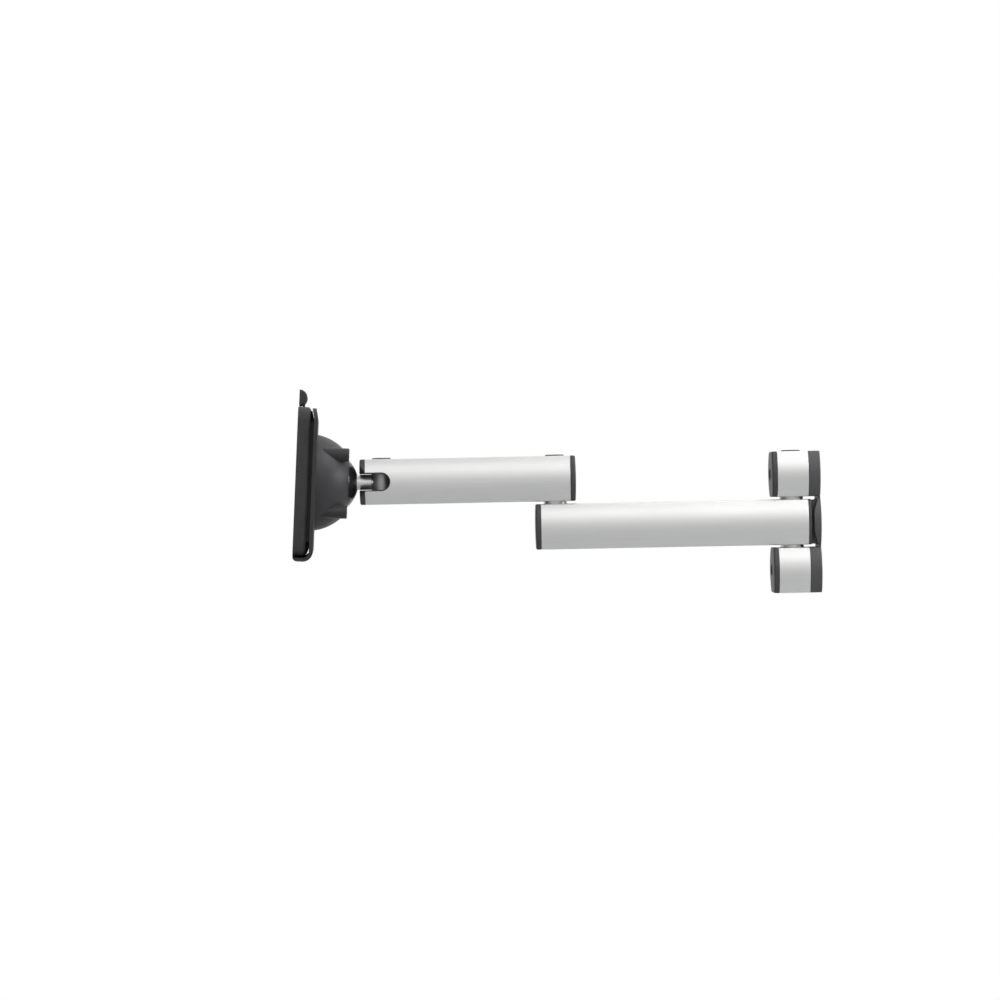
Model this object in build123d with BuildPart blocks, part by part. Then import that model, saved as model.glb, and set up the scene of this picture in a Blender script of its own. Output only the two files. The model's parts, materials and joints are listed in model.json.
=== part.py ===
from build123d import *
import os
from math import cos, radians, sin, sqrt

os.makedirs("parts", exist_ok=True)

# Swivelling two-section monitor arm with a ball-jointed head and a lift-off adapter plate.
# Millimetres. The origin is the centre of the mounting face, +X points out of that face, +Z is up,
# and the arm reaches out along -X.

# Extruded profile of both arms and of the bracket blocks
profile_height = 35.0
profile_width = 31.0
profile_bulge = 5.0
profile_wall = 2.6
end_chamfer = 0.4
profile_corner = 1.4
inner_corner = 0.6
rib_width = 1.6
rib_height = 1.5
rib_pitch = 16.0

# Layout of the axes
level_gap = 2.0
shoulder_offset = 21.2
lower_reach = 182.3
upper_reach = 133.7
lower_overhang = 11.7
upper_overhang = 11.9
fork_overhang = 12.7
nose_overhang = 11.9

# Fits
seat_clearance = 0.1
thread_clearance = 0.03
running_clearance = 0.05
moving_clearance = 0.3

# End caps
cap_thickness = 3.9
cap_crown = 0.4
cap_round = 1.3
spigot_wall = 1.6
spigot_depth = 3.0
collar_radius = 4.8
collar_height = 0.3
key_hole_radius = 3.8

# Bracket
pad_thickness = 8.8
pad_chamfer = 0.5
block_length = 24.3
post_screw_radius = 4.3
post_head_radius = 7.0
post_head_depth = 5.0
core_setback = 4.0
core_boss_radius = 6.0
core_boss_length = 3.4
block_screw_rise = 14.0
block_screw_wall = 2.0
block_screw_radius = 2.0
block_screw_grip = 6.0
socket_head_radius = 3.5
socket_head_height = 4.0
head_recess = 0.2
friction_screw_radius = 3.0
friction_screw_length = 6.0
spacer_clearance = 0.8
spacer_tie = 2.0
spacer_tie_width = 20.0

# Upright pivots
pin_radius = 5.0
bush_wall = 1.2
wall_hole_clearance = 0.2
washer_land = 2.7
pin_chamfer = 0.6
pin_cap_land = 0.8
pin_cap_height = 1.0
pin_cap_round = 0.4
pin_cap_stem = 2.2
pin_end_gap = 0.3
hub_half_length = 14.0
shoulder_bush_length = 11.0
elbow_pin_depth = 10.0
elbow_bush_length = 11.0
elbow_spring_stack = 1.6
elbow_spring_sheet = 0.5
elbow_screw_radius = 3.0
elbow_screw_length = 12.0
elbow_head_radius = 4.8
elbow_head_height = 3.2
nose_thickness = 1.8
nose_core_width = 19.0
nose_core_drop = 0.5
nose_clearance = 0.4

# Wrist
slot_radius = 7.2
lining_wall = 0.9
lining_recess = 0.3
cage_length = 15.0
barrel_radius = 7.75
barrel_height = 19.0
barrel_end_gap = 0.2
wrist_pin_radius = 3.0
wrist_head_radius = 5.0
wrist_head_height = 2.6
wrist_head_recess = 3.0
wrist_nut_radius = 4.9
rod_radius = 5.9
rod_spigot_radius = 4.0
barrel_socket_depth = 4.2
ball_socket_depth = 5.2

# Ball joint
ball_radius = 24.5
ball_gap = 1.2
ball_wall = 6.5
ball_rim = 5.0
ball_flat_depth = 0.8
seat_ring_wall = 1.4
seat_ring_front = 7.0
seat_ring_back = 0.9
inner_seat_base = 4.0
inner_seat_hub_radius = 9.0
seat_spring_stack = 4.0
seat_spring_sheet = 1.0
seat_spring_bore = 4.6
spring_stud_radius = 3.8
spring_stud_length = 5.4
spring_stud_bore_depth = 9.0

# Head, as it hangs in its rest pose
head_pan = 4.0
head_tilt = 3.4
dome_wall = 11.0
dome_setback = 14.3
dome_cover = 8.0
dome_lip = 2.5
boss_spread = 4.5
boss_radius = 5.0
boss_round = 1.0
housing_screw_radius = 2.0
tray_setback = 8.2
tray_sheet = 3.0
tray_width = 117.0
tray_height = 115.8
tray_drop = 2.4
tray_corner = 10.0
tray_bend = 6.5
toe_bend = 2.2
toe_height = 8.0
toe_width = 84.0
lean = 1.5
lean_height = 7.0
lean_bend = 8.0
lean_margin = 1.0
adapter_gap = 2.6
adapter_depth = 9.6
adapter_width = 114.0
adapter_corner = 10.0
adapter_wall = 2.6
adapter_base = 2.5
adapter_rise = 0.7
adapter_heel = 1.5
display_screw_radius = 2.25
display_patterns = (100.0, 75.0)
rail_width = 3.0
rail_length = 90.0
stop_offset = 41.5
stop_start = 40.0
toe_ledge = 3.0
toe_clearance = 0.3

# Release latch
latch_width = 22.0
latch_sheet = 1.8
latch_clearance = 0.2
latch_travel = 6.0
latch_stem_reach = 20.5
latch_top_gap = 0.6
latch_tongue_height = 2.0
latch_tongue_gap = 1.0
latch_hook_drop = 2.5
latch_hook_sheet = 1.7
keeper_width = 30.0
keeper_post = 2.5
keeper_height = 2.0
keeper_depth = 6.3
keeper_sheet = 2.0
latch_stem_radius = 1.5
latch_foot_radius = 2.9
latch_foot_height = 1.5
lug_width = 12.0
lug_height = 2.5
latch_block_width = 8.0
latch_block_height = 4.0
latch_block_gap = 0.8
guide_width = 2.0
guide_length = 14.0
guide_height = 2.4
knob_radius = 6.2
knob_gap = 2.3
knob_width = 26.0
knob_round = 1.2
knob_grip = 4.0
spring_wire = 0.7
spring_turns = 6

# Derived places along the arm
level_pitch = profile_height + level_gap
levels = {"upper": level_pitch, "lower": -level_pitch}
shoulder_x = -shoulder_offset
elbow_x = shoulder_x - lower_reach
wrist_x = elbow_x - upper_reach
rod_reach = fork_overhang + cap_thickness + cap_crown + ball_gap + ball_radius
ball_x = wrist_x - rod_reach
half_height = profile_height / 2
half_width = profile_width / 2
side_radius = (half_height**2 + profile_bulge**2) / (2 * profile_bulge)
block_rear_x = -pad_thickness
block_front_x = block_rear_x - block_length
core_front_x = block_front_x + core_setback
bush_radius = pin_radius + running_clearance + bush_wall
wall_hole_radius = bush_radius + wall_hole_clearance
washer_radius = wall_hole_radius + washer_land
pin_cap_radius = wall_hole_radius + pin_cap_land
spigot_inset = profile_wall + rib_height + seat_clearance
insert_half_height = half_height - profile_wall - seat_clearance
tube_end_shoulder_x = shoulder_x + nose_overhang
tube_end_elbow_x = elbow_x - lower_overhang
upper_tube_elbow_x = elbow_x + upper_overhang
upper_tube_wrist_x = wrist_x - fork_overhang
block_screw_pitch = profile_width - 2 * (profile_wall + block_screw_wall + socket_head_radius)
ball_bore_radius = ball_radius - ball_wall
ball_flat = ball_radius - ball_flat_depth


class ProfileOutline(BaseSketchObject):
    """Outline of the extruded profile, moved in by an inset: flat above and below, bulged sides."""

    def __init__(self, inset=0.0, mode=Mode.ADD):
        top = half_height - inset
        side = half_width - inset
        radius = side_radius - inset
        flat = side - radius + sqrt(radius**2 - top**2)
        with BuildSketch() as outline:
            with BuildLine():
                Line((-flat, top), (flat, top))
                ThreePointArc((flat, top), (side, 0), (flat, -top))
                Line((flat, -top), (-flat, -top))
                ThreePointArc((-flat, -top), (-side, 0), (-flat, top))
            make_face()
            fillet(outline.vertices(), max(profile_corner - inset, inner_corner))
        super().__init__(outline.sketch, mode=mode)


class InnerRibs(BaseSketchObject):
    """The four ribs inside the profile's top and bottom walls, grown by a clearance."""

    def __init__(self, clearance=0.0, mode=Mode.ADD):
        reach = half_height - profile_wall - rib_height - clearance
        with BuildSketch() as ribs:
            for direction in (1, -1):
                with GridLocations(rib_pitch, 0, 2, 1):
                    with Locations((0, direction * (reach + half_height) / 2)):
                        Rectangle(rib_width + 2 * clearance, half_height - reach)
        super().__init__(ribs.sketch, mode=mode)


class TubeSection(BaseSketchObject):
    """Hollow, ribbed section of the extruded profile."""

    def __init__(self, mode=Mode.ADD):
        with BuildSketch() as section:
            ProfileOutline()
            ProfileOutline(profile_wall, mode=Mode.SUBTRACT)
            InnerRibs()
        super().__init__(section.sketch, mode=mode)


class InsertSection(BaseSketchObject):
    """Section of a solid insert that slides into the profile between its ribs."""

    def __init__(self, mode=Mode.ADD):
        with BuildSketch() as section:
            ProfileOutline(profile_wall + seat_clearance)
            InnerRibs(seat_clearance, mode=Mode.SUBTRACT)
        super().__init__(section.sketch, mode=mode)


class ProfileLength(BasePartObject):
    """One sawn length of the profile along local +Z, with its outer end edges broken."""

    def __init__(self, length, mode=Mode.ADD):
        with BuildPart() as tube:
            with BuildSketch():
                TubeSection()
            extrude(amount=length)
            ends = tube.faces().filter_by(Plane.XY)
            chamfer([edge for end in ends for edge in end.outer_wire().edges()], end_chamfer)
        super().__init__(tube.part, mode=mode)


class SlotEnd(BaseSketchObject):
    """Slot with one round end at the origin, open towards local -X."""

    def __init__(self, radius, length, mode=Mode.ADD):
        with BuildSketch() as slot:
            Circle(radius)
            with Locations((-length / 2, 0)):
                Rectangle(length, 2 * radius)
        super().__init__(slot.sketch, mode=mode)


class EndCap(BasePartObject):
    """Crowned cap on the end of the profile, with a hollow spigot that grips the inner ribs."""

    def __init__(self, spigot=True, mode=Mode.ADD):
        height = cap_thickness + cap_crown
        crown_radius = (half_width**2 + cap_crown**2) / (2 * cap_crown)
        with BuildPart() as cap:
            with BuildSketch():
                ProfileOutline()
            extrude(amount=height)
            with Locations((0, 0, height - crown_radius)):
                Sphere(crown_radius, mode=Mode.INTERSECT)
            fillet(cap.faces().sort_by(Axis.Z)[-1].edges(), cap_round)
            if spigot:
                with BuildSketch():
                    ProfileOutline(spigot_inset)
                    ProfileOutline(spigot_inset + spigot_wall, mode=Mode.SUBTRACT)
                extrude(amount=-spigot_depth)
        super().__init__(cap.part, mode=mode)


class SocketScrew(BasePartObject):
    """Socket-head screw: the head stands on the local XY plane and the shank goes down."""

    def __init__(self, radius, length, head_radius, head_height, mode=Mode.ADD):
        key_radius = 0.87 * radius
        key_depth = 0.5 * head_height
        with BuildPart() as screw:
            with BuildSketch():
                Circle(head_radius)
            extrude(amount=head_height)
            with BuildSketch():
                Circle(radius)
            extrude(amount=-length)
            with BuildSketch(Plane.XY.offset(head_height)):
                RegularPolygon(key_radius, 6)
            extrude(amount=-key_depth, mode=Mode.SUBTRACT)
        super().__init__(screw.part, mode=mode)


class PinCap(BasePartObject):
    """Thin disc that closes a pivot hole, with a stem down into the hole."""

    def __init__(self, mode=Mode.ADD):
        with BuildPart() as cap:
            with BuildSketch():
                Circle(pin_cap_radius)
            extrude(amount=pin_cap_height)
            fillet(cap.edges().sort_by(Axis.Z)[-1], pin_cap_round)
            with BuildSketch():
                Circle(wall_hole_radius - seat_clearance)
            extrude(amount=-pin_cap_stem)
        super().__init__(cap.part, mode=mode)


class DiscSpringPair(BasePartObject):
    """Two conical disc springs standing on the local XY plane with their inner edges together."""

    def __init__(self, bore, radius, stack, sheet, mode=Mode.ADD):
        inner_edge = (stack - running_clearance) / 2
        with BuildPart() as springs:
            with BuildSketch(Plane.XZ):
                with BuildLine():
                    Polyline(
                        (radius, 0),
                        (radius, sheet),
                        (bore, inner_edge),
                        (bore, inner_edge - sheet),
                        close=True,
                    )
                make_face()
            revolve(axis=Axis.Z)
            mirror(about=Plane.XY.offset(stack / 2))
        super().__init__(springs.part, mode=mode)


class Ring(BaseSketchObject):
    """Flat ring."""

    def __init__(self, outer, inner, mode=Mode.ADD):
        with BuildSketch() as ring:
            Circle(outer)
            Circle(inner, mode=Mode.SUBTRACT)
        super().__init__(ring.sketch, mode=mode)


def across(x, z=0.0):
    """Section plane of the arm at x, facing +X, with its own y axis up."""
    return Plane(origin=(x, 0, z), x_dir=(0, 1, 0), z_dir=(1, 0, 0))


def outward(x, z=0.0):
    """Section plane of the arm at x, facing -X, with its own y axis up."""
    return Plane(origin=(x, 0, z), x_dir=(0, -1, 0), z_dir=(-1, 0, 0))


def upright(x, z=0.0):
    """Horizontal plane centred on an upright axis."""
    return Plane(origin=(x, 0, z))


def on_sphere(radius, height):
    """Section point of a sphere about the head's axis, as distance from the axis and height."""
    return sqrt(radius**2 - height**2), height


def up_head(height):
    """Plane square to the head's own upright direction, centred on the latch stem."""
    origin = head_plane.from_local_coords((0, height, stem_axial))
    return Plane(origin=origin, x_dir=across_head, z_dir=head_plane.y_dir)


def downward(x, z=0.0):
    """Horizontal plane centred on an upright axis, facing down."""
    return Plane(origin=(x, 0, z), x_dir=(1, 0, 0), z_dir=(0, 0, -1))


# Bracket: two short blocks of the profile, one above and one below the lower arm
for side, level in levels.items():
    with BuildPart() as mount_pad:
        with BuildSketch(across(block_rear_x, level)):
            ProfileOutline()
        extrude(amount=pad_thickness)
        chamfer(mount_pad.faces().sort_by(Axis.X)[-1].edges(), pad_chamfer)
        with Locations(outward(block_rear_x, level)):
            CounterBoreHole(post_screw_radius, post_head_radius, post_head_depth)
            with GridLocations(block_screw_pitch, block_screw_rise, 2, 2):
                Hole(block_screw_radius + thread_clearance, block_screw_grip + head_recess)
    mount_pad.part.label = f"mount_pad_{side}"
    export_step(mount_pad.part, f"parts/mount_pad_{side}.step")

    with BuildPart() as bracket_block:
        with Locations(across(block_front_x, level)):
            ProfileLength(block_length)
        with BuildSketch(upright(shoulder_x, level)):
            Circle(wall_hole_radius)
        extrude(amount=profile_height, both=side == "upper", mode=Mode.SUBTRACT)
    bracket_block.part.label = f"bracket_block_{side}"
    export_step(bracket_block.part, f"parts/bracket_block_{side}.step")

    with BuildPart() as block_core:
        with BuildSketch(across(core_front_x, level)):
            InsertSection()
        extrude(amount=block_rear_x - core_front_x)
        with BuildSketch(outward(core_front_x, level)):
            Circle(core_boss_radius)
        extrude(amount=core_boss_length)
        with BuildSketch(upright(shoulder_x, level)):
            Circle(pin_radius + thread_clearance)
        extrude(amount=profile_height, both=True, mode=Mode.SUBTRACT)
        with BuildSketch(across(core_front_x - core_boss_length, level)):
            Circle(friction_screw_radius + thread_clearance)
        extrude(amount=shoulder_x - core_front_x + core_boss_length, mode=Mode.SUBTRACT)
        with Locations(outward(core_front_x, level)):
            with GridLocations(block_screw_pitch, block_screw_rise, 2, 2):
                CounterBoreHole(
                    block_screw_radius + seat_clearance,
                    socket_head_radius + seat_clearance,
                    socket_head_height + head_recess,
                )
    block_core.part.label = f"block_core_{side}"
    export_step(block_core.part, f"parts/block_core_{side}.step")

    with BuildPart(outward(block_front_x, level)) as front_cap:
        EndCap()
        with BuildSketch(outward(block_front_x - cap_thickness, level)):
            Circle(collar_radius)
        extrude(amount=cap_crown + collar_height)
        with BuildSketch(outward(block_front_x, level)):
            Circle(key_hole_radius)
        extrude(amount=cap_thickness + cap_crown + collar_height, mode=Mode.SUBTRACT)
    front_cap.part.label = f"front_cap_{side}"
    export_step(front_cap.part, f"parts/front_cap_{side}.step")

block_screw_seat_x = core_front_x + socket_head_height + head_recess
with BuildPart() as block_screws:
    for level in levels.values():
        with Locations(outward(block_screw_seat_x, level)):
            with GridLocations(block_screw_pitch, block_screw_rise, 2, 2):
                SocketScrew(
                    block_screw_radius,
                    block_rear_x + block_screw_grip - block_screw_seat_x,
                    socket_head_radius,
                    socket_head_height,
                )
block_screws.part.label = "block_screws"
export_step(block_screws.part, "parts/block_screws.step")

with BuildPart() as friction_screws:
    for level in levels.values():
        with BuildSketch(outward(shoulder_x - pin_radius - thread_clearance, level)):
            Circle(friction_screw_radius)
        extrude(amount=friction_screw_length)
        with BuildSketch(outward(shoulder_x - pin_radius - friction_screw_length / 2, level)):
            RegularPolygon(friction_screw_radius / 2, 6)
        extrude(amount=friction_screw_length, mode=Mode.SUBTRACT)
friction_screws.part.label = "friction_screws"
export_step(friction_screws.part, "parts/friction_screws.step")

bracket_top = level_pitch + half_height
shoulder_pin_top = bracket_top - pin_cap_stem - pin_end_gap
shoulder_pin_foot = profile_wall - bracket_top
with BuildPart() as shoulder_pin:
    with BuildSketch(upright(shoulder_x, shoulder_pin_foot)):
        Circle(pin_radius)
    extrude(amount=shoulder_pin_top - shoulder_pin_foot)
    chamfer(shoulder_pin.edges().filter_by(GeomType.CIRCLE), pin_chamfer)
shoulder_pin.part.label = "shoulder_pin"
export_step(shoulder_pin.part, "parts/shoulder_pin.step")

with BuildPart(upright(shoulder_x, bracket_top)) as shoulder_pin_cap:
    PinCap()
shoulder_pin_cap.part.label = "shoulder_pin_cap"
export_step(shoulder_pin_cap.part, "parts/shoulder_pin_cap.step")

# Spacer between the pads: two wedges hollowed about the shoulder axis, tied above and below the arm
nose_radius = shoulder_offset - nose_clearance
spacer_radius = nose_radius + spacer_clearance
spacer_depth = shoulder_offset - half_width - moving_clearance
with BuildPart() as mount_spacer:
    with BuildSketch(outward(0)):
        ProfileOutline()
    extrude(amount=spacer_depth)
    with BuildSketch(outward(0)):
        Rectangle(spacer_tie_width, profile_height + 2 * level_gap)
    extrude(amount=spacer_tie)
    with BuildSketch(upright(shoulder_x)):
        Circle(spacer_radius)
    extrude(amount=half_height + moving_clearance, both=True, mode=Mode.SUBTRACT)
mount_spacer.part.label = "mount_spacer"
export_step(mount_spacer.part, "parts/mount_spacer.step")

# Lower arm: one length of the profile between the blocks, with an insert at each pivot
with BuildPart() as lower_arm_tube:
    with Locations(across(tube_end_elbow_x)):
        ProfileLength(tube_end_shoulder_x - tube_end_elbow_x)
    with BuildSketch(upright(shoulder_x)):
        Circle(wall_hole_radius)
    extrude(amount=profile_height, both=True, mode=Mode.SUBTRACT)
    with BuildSketch(upright(elbow_x)):
        Circle(wall_hole_radius)
    extrude(amount=profile_height, mode=Mode.SUBTRACT)
lower_arm_tube.part.label = "lower_arm_tube"
export_step(lower_arm_tube.part, "parts/lower_arm_tube.step")

shoulder_hub_front_x = tube_end_shoulder_x - spigot_depth - seat_clearance
with BuildPart() as shoulder_hub:
    with BuildSketch(across(shoulder_x - hub_half_length)):
        InsertSection()
    extrude(amount=shoulder_hub_front_x - shoulder_x + hub_half_length)
    with BuildSketch(upright(shoulder_x)):
        Circle(bush_radius + thread_clearance)
    extrude(amount=profile_height, both=True, mode=Mode.SUBTRACT)
shoulder_hub.part.label = "shoulder_hub"
export_step(shoulder_hub.part, "parts/shoulder_hub.step")

with BuildPart() as shoulder_bushes:
    for start in (-half_height, half_height - shoulder_bush_length):
        with BuildSketch(upright(shoulder_x, start)):
            Ring(bush_radius, pin_radius + running_clearance)
        extrude(amount=shoulder_bush_length)
shoulder_bushes.part.label = "shoulder_bushes"
export_step(shoulder_bushes.part, "parts/shoulder_bushes.step")

with BuildPart() as shoulder_washers:
    for start in (-half_height - level_gap, half_height):
        with BuildSketch(upright(shoulder_x, start)):
            Ring(washer_radius, pin_radius + moving_clearance)
        extrude(amount=level_gap)
shoulder_washers.part.label = "shoulder_washers"
export_step(shoulder_washers.part, "parts/shoulder_washers.step")

with BuildPart() as nose_cap:
    with BuildSketch(across(tube_end_shoulder_x)):
        ProfileOutline()
    extrude(amount=nose_thickness)
    with BuildSketch(across(tube_end_shoulder_x)):
        Rectangle(nose_core_width, profile_height - 2 * nose_core_drop)
    extrude(amount=nose_radius)
    with BuildSketch(upright(shoulder_x)):
        Circle(nose_radius)
    extrude(amount=profile_height, both=True, mode=Mode.INTERSECT)
    with BuildSketch(outward(tube_end_shoulder_x)):
        ProfileOutline(spigot_inset)
        ProfileOutline(spigot_inset + spigot_wall, mode=Mode.SUBTRACT)
    extrude(amount=spigot_depth)
nose_cap.part.label = "nose_cap"
export_step(nose_cap.part, "parts/nose_cap.step")

with BuildPart(outward(tube_end_elbow_x)) as lower_arm_cap:
    EndCap()
lower_arm_cap.part.label = "lower_arm_cap"
export_step(lower_arm_cap.part, "parts/lower_arm_cap.step")

elbow_hub_end_x = tube_end_elbow_x + spigot_depth + seat_clearance
with BuildPart() as elbow_hub_lower:
    with BuildSketch(across(elbow_hub_end_x)):
        InsertSection()
    extrude(amount=elbow_x + hub_half_length - elbow_hub_end_x)
    with BuildSketch(upright(elbow_x, -elbow_pin_depth)):
        Circle(pin_radius + thread_clearance)
    extrude(amount=profile_height, mode=Mode.SUBTRACT)
elbow_hub_lower.part.label = "elbow_hub_lower"
export_step(elbow_hub_lower.part, "parts/elbow_hub_lower.step")

# Elbow pivot: the pin stands in the lower arm, the disc springs and the screw hold the upper arm down
upper_floor = half_height + level_gap
elbow_screw_top = upper_floor + profile_height - pin_cap_stem - pin_end_gap
elbow_screw_seat = elbow_screw_top - elbow_head_height
elbow_bush_top = elbow_screw_seat - elbow_spring_stack - thread_clearance
elbow_bush_starts = (upper_floor, elbow_bush_top - elbow_bush_length)
with BuildPart() as elbow_pin:
    with BuildSketch(upright(elbow_x, -elbow_pin_depth)):
        Circle(pin_radius)
    extrude(amount=elbow_bush_top - pin_end_gap + elbow_pin_depth)
    with BuildSketch(upright(elbow_x, elbow_bush_top)):
        Circle(elbow_screw_radius + thread_clearance)
    extrude(amount=-elbow_screw_length - pin_end_gap, mode=Mode.SUBTRACT)
elbow_pin.part.label = "elbow_pin"
export_step(elbow_pin.part, "parts/elbow_pin.step")

with BuildPart(upright(elbow_x, elbow_screw_seat)) as elbow_screw:
    SocketScrew(elbow_screw_radius, elbow_screw_length, elbow_head_radius, elbow_head_height)
elbow_screw.part.label = "elbow_screw"
export_step(elbow_screw.part, "parts/elbow_screw.step")

with BuildPart(upright(elbow_x, elbow_bush_top)) as elbow_disc_springs:
    DiscSpringPair(elbow_screw_radius + seat_clearance, bush_radius, elbow_spring_stack, elbow_spring_sheet)
elbow_disc_springs.part.label = "elbow_disc_springs"
export_step(elbow_disc_springs.part, "parts/elbow_disc_springs.step")

# Upper arm: runs one level above the lower arm and ends in a slotted fork at the wrist
upper_level = level_pitch
upper_top = upper_level + half_height
wrist_side = Plane(origin=(wrist_x, 0, upper_level), x_dir=(1, 0, 0), z_dir=(0, -1, 0))
fork_depth = fork_overhang + 2 * cap_thickness

with BuildPart() as upper_arm_tube:
    with Locations(across(upper_tube_wrist_x, upper_level)):
        ProfileLength(upper_tube_elbow_x - upper_tube_wrist_x)
    for pivot_x in (elbow_x, wrist_x):
        with BuildSketch(upright(pivot_x, upper_level)):
            Circle(wall_hole_radius)
        extrude(amount=profile_height, both=pivot_x == elbow_x, mode=Mode.SUBTRACT)
    with BuildSketch(wrist_side):
        SlotEnd(slot_radius, fork_depth)
    extrude(amount=profile_width, both=True, mode=Mode.SUBTRACT)
upper_arm_tube.part.label = "upper_arm_tube"
export_step(upper_arm_tube.part, "parts/upper_arm_tube.step")

elbow_hub_upper_x = upper_tube_elbow_x - spigot_depth - seat_clearance
with BuildPart() as elbow_hub_upper:
    with BuildSketch(across(elbow_x - hub_half_length, upper_level)):
        InsertSection()
    extrude(amount=elbow_hub_upper_x - elbow_x + hub_half_length)
    with BuildSketch(upright(elbow_x, upper_level)):
        Circle(bush_radius + thread_clearance)
    extrude(amount=profile_height, both=True, mode=Mode.SUBTRACT)
elbow_hub_upper.part.label = "elbow_hub_upper"
export_step(elbow_hub_upper.part, "parts/elbow_hub_upper.step")

with BuildPart() as elbow_bushes:
    for start in elbow_bush_starts:
        with BuildSketch(upright(elbow_x, start)):
            Ring(bush_radius, pin_radius + running_clearance)
        extrude(amount=elbow_bush_length)
elbow_bushes.part.label = "elbow_bushes"
export_step(elbow_bushes.part, "parts/elbow_bushes.step")

with BuildPart() as elbow_washer:
    with BuildSketch(upright(elbow_x, half_height)):
        Ring(washer_radius, pin_radius + moving_clearance)
    extrude(amount=level_gap)
elbow_washer.part.label = "elbow_washer"
export_step(elbow_washer.part, "parts/elbow_washer.step")

with BuildPart(across(upper_tube_elbow_x, upper_level)) as upper_arm_cap:
    EndCap()
upper_arm_cap.part.label = "upper_arm_cap"
export_step(upper_arm_cap.part, "parts/upper_arm_cap.step")

# Wrist cage: two halves that line the slot, carry the barrel and close the fork's end,
# hollowed along the ball's path so that the ball can pass
cage_pin_seat = insert_half_height - wrist_head_recess
for side, keep in (("upper", Keep.TOP), ("lower", Keep.BOTTOM)):
    with BuildPart() as wrist_cage:
        with BuildSketch(wrist_side):
            SlotEnd(slot_radius - seat_clearance, fork_overhang)
        extrude(amount=profile_width, both=True)
        with BuildSketch(across(upper_tube_wrist_x, upper_level)):
            ProfileOutline(lining_recess)
        extrude(amount=fork_overhang + profile_width, mode=Mode.INTERSECT)
        with BuildSketch(across(upper_tube_wrist_x, upper_level)):
            InsertSection()
        extrude(amount=fork_overhang + cage_length)
        with Locations(outward(upper_tube_wrist_x, upper_level)):
            EndCap(spigot=False)
        with Locations(upright(wrist_x, upper_level)):
            Torus(rod_reach, ball_radius + moving_clearance, mode=Mode.SUBTRACT)
        with BuildSketch(wrist_side):
            SlotEnd(slot_radius - lining_wall, fork_depth)
        extrude(amount=profile_width, both=True, mode=Mode.SUBTRACT)
        with BuildSketch(upright(wrist_x, upper_level)):
            Circle(barrel_radius + moving_clearance)
        extrude(amount=barrel_height / 2 + barrel_end_gap, both=True, mode=Mode.SUBTRACT)
        with BuildSketch(upright(wrist_x, upper_level)):
            Circle(wrist_pin_radius + thread_clearance)
        extrude(amount=profile_height, both=True, mode=Mode.SUBTRACT)
        for seat in (
            upright(wrist_x, upper_level + cage_pin_seat),
            downward(wrist_x, upper_level - cage_pin_seat),
        ):
            with BuildSketch(seat):
                Circle(wrist_head_radius + seat_clearance)
            extrude(amount=half_height, mode=Mode.SUBTRACT)
        split(bisect_by=upright(wrist_x, upper_level), keep=keep)
    wrist_cage.part.label = f"wrist_cage_{side}"
    export_step(wrist_cage.part, f"parts/wrist_cage_{side}.step")

wrist_pin_length = 2 * cage_pin_seat + wrist_head_height
with BuildPart(upright(wrist_x, upper_level + cage_pin_seat)) as wrist_pin:
    SocketScrew(wrist_pin_radius, wrist_pin_length, wrist_head_radius, wrist_head_height)
wrist_pin.part.label = "wrist_pin"
export_step(wrist_pin.part, "parts/wrist_pin.step")

with BuildPart() as wrist_nut:
    with BuildSketch(downward(wrist_x, upper_level - cage_pin_seat)):
        RegularPolygon(wrist_nut_radius, 6)
        Circle(wrist_pin_radius + thread_clearance, mode=Mode.SUBTRACT)
    extrude(amount=wrist_head_height)
wrist_nut.part.label = "wrist_nut"
export_step(wrist_nut.part, "parts/wrist_nut.step")

with BuildPart() as upper_arm_pin_caps:
    with Locations(upright(elbow_x, upper_top), upright(wrist_x, upper_top)):
        PinCap()
upper_arm_pin_caps.part.label = "upper_arm_pin_caps"
export_step(upper_arm_pin_caps.part, "parts/upper_arm_pin_caps.step")

# Wrist: a barrel on the wrist pin carries the rod and the ball
barrel_face_x = wrist_x - barrel_radius - running_clearance
ball_face_x = ball_x + ball_flat
with BuildPart() as wrist_barrel:
    with BuildSketch(upright(wrist_x, upper_level - barrel_height / 2)):
        Ring(barrel_radius, wrist_pin_radius + running_clearance)
    extrude(amount=barrel_height)
    with BuildSketch(across(barrel_face_x, upper_level)):
        Circle(rod_spigot_radius + thread_clearance)
    extrude(amount=barrel_socket_depth + seat_clearance, mode=Mode.SUBTRACT)
wrist_barrel.part.label = "wrist_barrel"
export_step(wrist_barrel.part, "parts/wrist_barrel.step")

with BuildPart() as ball_rod:
    with BuildSketch(across(ball_face_x, upper_level)):
        Circle(rod_radius)
    extrude(amount=barrel_face_x - ball_face_x)
    with BuildSketch(across(barrel_face_x, upper_level)):
        Circle(rod_spigot_radius)
    extrude(amount=barrel_socket_depth)
    with BuildSketch(outward(ball_face_x, upper_level)):
        Circle(rod_spigot_radius)
    extrude(amount=ball_socket_depth)
ball_rod.part.label = "ball_rod"
export_step(ball_rod.part, "parts/ball_rod.step")

ball_plane = across(ball_x, upper_level)
with BuildPart(ball_plane) as ball:
    Sphere(ball_radius)
    Sphere(ball_bore_radius, mode=Mode.SUBTRACT)
    split(bisect_by=ball_plane.offset(ball_rim), keep=Keep.TOP)
    split(bisect_by=ball_plane.offset(ball_flat), keep=Keep.BOTTOM)
    with BuildSketch(ball_plane):
        Circle(rod_spigot_radius + thread_clearance)
    extrude(amount=ball_radius, mode=Mode.SUBTRACT)
ball.part.label = "ball"
export_step(ball.part, "parts/ball.step")

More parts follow.
